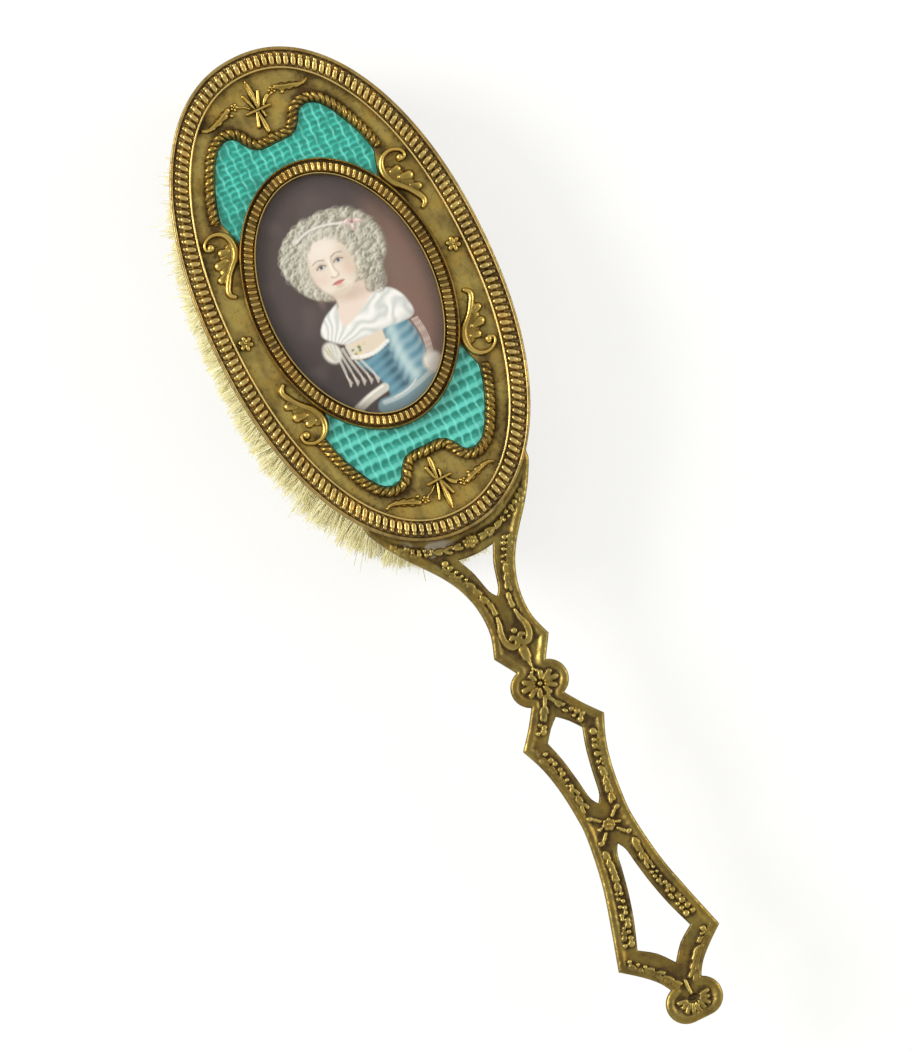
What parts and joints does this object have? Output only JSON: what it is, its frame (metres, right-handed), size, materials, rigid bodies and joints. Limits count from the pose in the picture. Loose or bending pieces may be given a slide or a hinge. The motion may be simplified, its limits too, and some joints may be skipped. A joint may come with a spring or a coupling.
{
  "type": "vanity hairbrush",
  "caption": "Oval hairbrush with a gilt-brass back, enamel windows round a framed miniature, drawn bristle tufts in a wooden block and a cast openwork handle.",
  "frame": {"origin": "under the middle of the part, in the plane of the bristle tips", "axes": "+Z out of the decorated back, +Y from the handle towards the head, +X to the right when looking at the back with the head up"},
  "size_m": [0.07, 0.2426, 0.0304],
  "materials": {
    "aged_brass": "gilt brass with a soft brown patina in the recesses",
    "gilt_brass": "brighter gilded ornaments",
    "handle_brass": "cast gilt brass, worn on the edges and dark in the recesses",
    "side_band_brass": "thin rolled brass, worn and slightly grey",
    "pin_brass": "round-headed brass pins",
    "screw_steel": "plain steel wood screws",
    "enamel": "translucent turquoise enamel over an engine-turned ground",
    "miniature_glass": "clear domed cover glass",
    "painting": "painted miniature",
    "backing_card": "plain card",
    "cover_wood": "stained beech",
    "board_wood": "stained and waxed beech with drilled holes",
    "bristle": "pale natural bristle"
  },
  "bodies": {
    "root": {"back_plate": "aged_brass", "outer_border": "aged_brass", "miniature_bezel": "aged_brass", "side_band": "side_band_brass", "handle": "handle_brass", "enamel_panel_upper": "enamel", "enamel_panel_lower": "enamel", "miniature_backing_card": "backing_card", "miniature_painting": "painting", "miniature_glass": "miniature_glass", "cover_board": "cover_wood", "bristle_board": "board_wood", "handle_screw_left": "screw_steel", "handle_screw_right": "screw_steel", "rope_moulding_upper": "gilt_brass", "rope_moulding_lower": "gilt_brass", "scroll_upper_right": "gilt_brass", "scroll_upper_left": "gilt_brass", "scroll_lower_right": "gilt_brass", "scroll_lower_left": "gilt_brass", "trophy_upper": "gilt_brass", "trophy_lower": "gilt_brass", "rosette_left": "gilt_brass", "rosette_right": "gilt_brass", "bristle_row_01": "bristle", "bristle_row_02": "bristle", "bristle_row_03": "bristle", "bristle_row_04": "bristle", "bristle_row_05": "bristle", "bristle_row_06": "bristle", "bristle_row_07": "bristle", "bristle_row_08": "bristle", "bristle_row_09": "bristle", "bristle_row_10": "bristle", "bristle_row_11": "bristle", "bristle_row_12": "bristle", "bristle_row_13": "bristle", "bristle_row_14": "bristle", "bristle_row_15": "bristle", "band_pin_1": "pin_brass", "band_pin_2": "pin_brass", "band_pin_3": "pin_brass", "band_pin_4": "pin_brass", "band_pin_5": "pin_brass", "band_pin_6": "pin_brass"}
  },
  "joints": []
}
